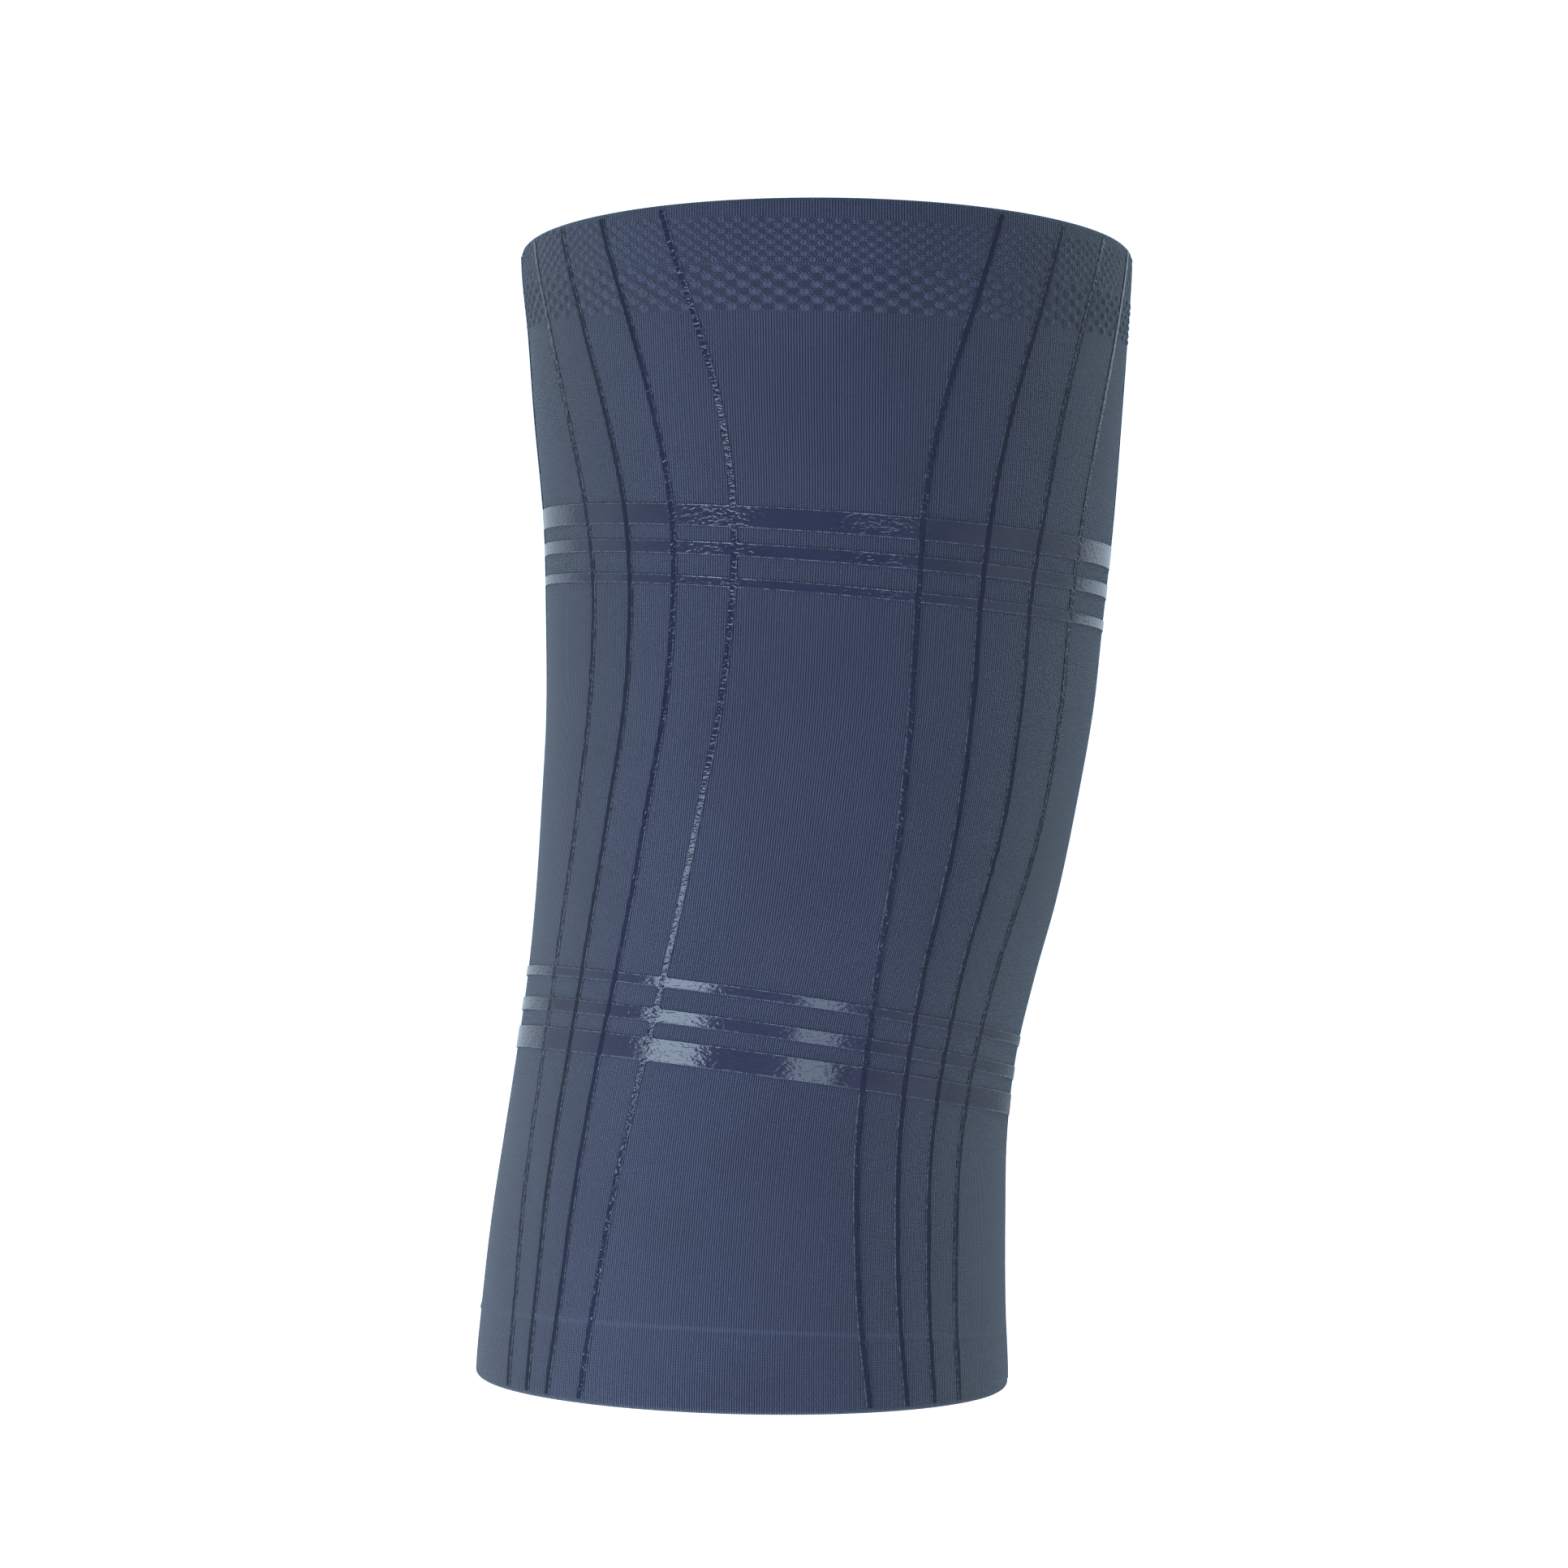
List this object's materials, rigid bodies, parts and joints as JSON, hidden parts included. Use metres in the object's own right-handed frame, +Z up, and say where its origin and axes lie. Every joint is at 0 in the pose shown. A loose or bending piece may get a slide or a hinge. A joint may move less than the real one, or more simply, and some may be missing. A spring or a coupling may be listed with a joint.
{
  "type": "knee sleeve",
  "caption": "Seamless knitted compression sleeve for a knee, in the shape it takes when worn, with glossy film bands bonded around and along it.",
  "frame": {"origin": "on the wearer's leg axis at the height of the middle of the kneecap", "axes": "+Z up the leg to the thigh, the kneecap faces -Y, +X to the right of a viewer who faces the kneecap"},
  "size_m": [0.1557, 0.145, 0.2724],
  "materials": {
    "knit": "matte fine-gauge knit",
    "film": "glossy bonded film"
  },
  "bodies": {
    "root": {"knit_sleeve": "knit", "film_web": "film"}
  },
  "joints": []
}
